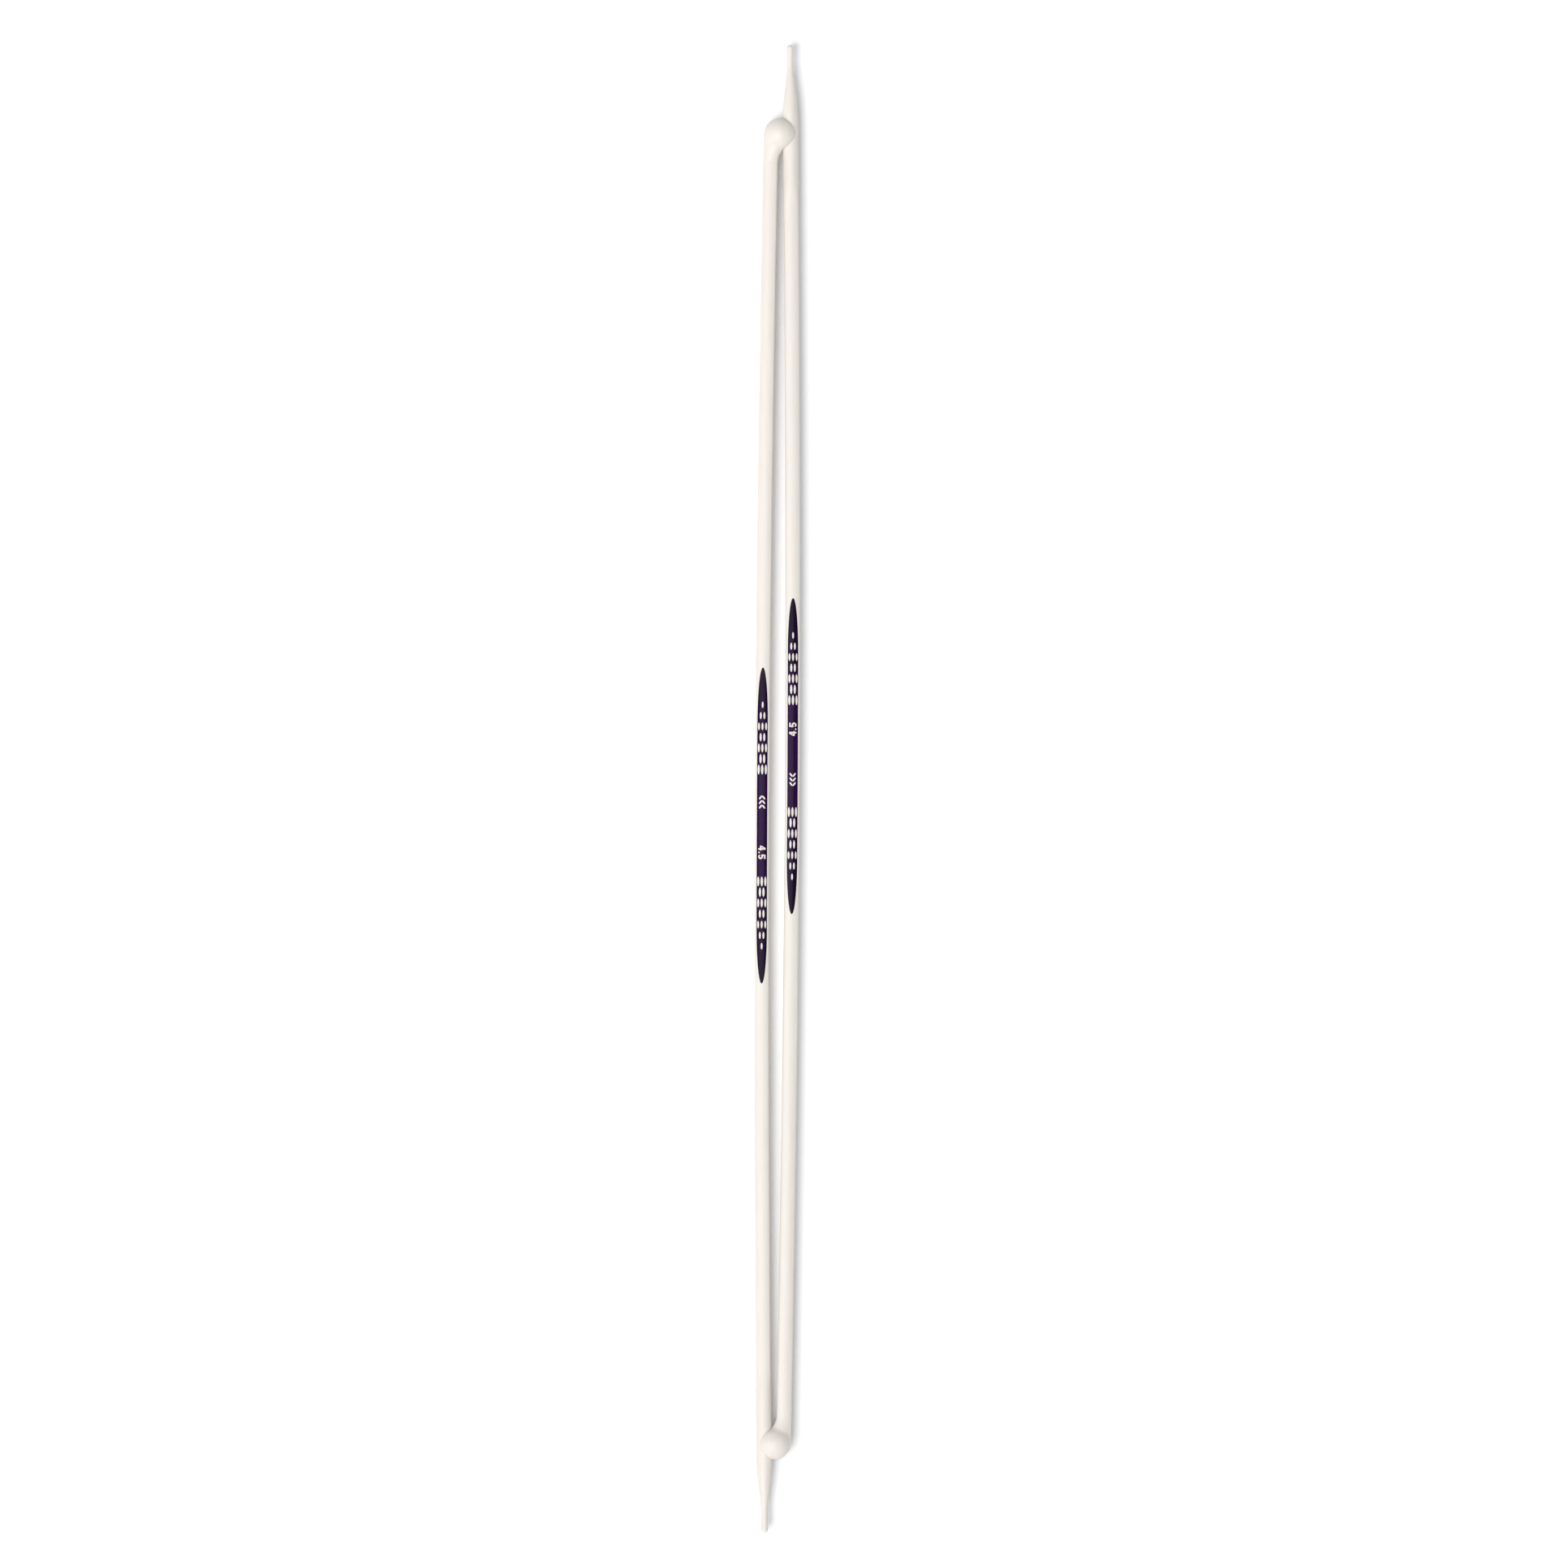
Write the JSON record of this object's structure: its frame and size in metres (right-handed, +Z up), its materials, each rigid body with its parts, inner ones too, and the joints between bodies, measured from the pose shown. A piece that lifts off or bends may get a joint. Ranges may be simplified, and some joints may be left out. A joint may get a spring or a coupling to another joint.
{
  "type": "knitting needle pair",
  "caption": "Pair of single-pointed knitting needles with drop-shaped tips, soft triangular grips and ball heads that clip round each other for storage.",
  "frame": {"origin": "on the resting plane, midway between the two ball heads", "axes": "+Y along the pair towards the left needle's ball head, +X from the left needle to the right one, +Z up from the resting plane to the printed faces"},
  "size_m": [0.0126, 0.4208, 0.0087],
  "materials": {
    "ivory_polymer": "satin-matte moulded ivory polymer",
    "aubergine_print": "satin dark aubergine print"
  },
  "bodies": {
    "left_needle": {"left_needle_head": "ivory_polymer", "left_needle_shaft": "ivory_polymer", "left_needle_print": "aubergine_print"},
    "right_needle": {"right_needle_head": "ivory_polymer", "right_needle_shaft": "ivory_polymer", "right_needle_print": "aubergine_print"}
  },
  "joints": [
    {"name": "pull_apart", "type": "slide", "parent": "left_needle", "child": "right_needle", "axis": [0.0118, -0.9999, 0], "range_m": [0, 0.045]}
  ]
}
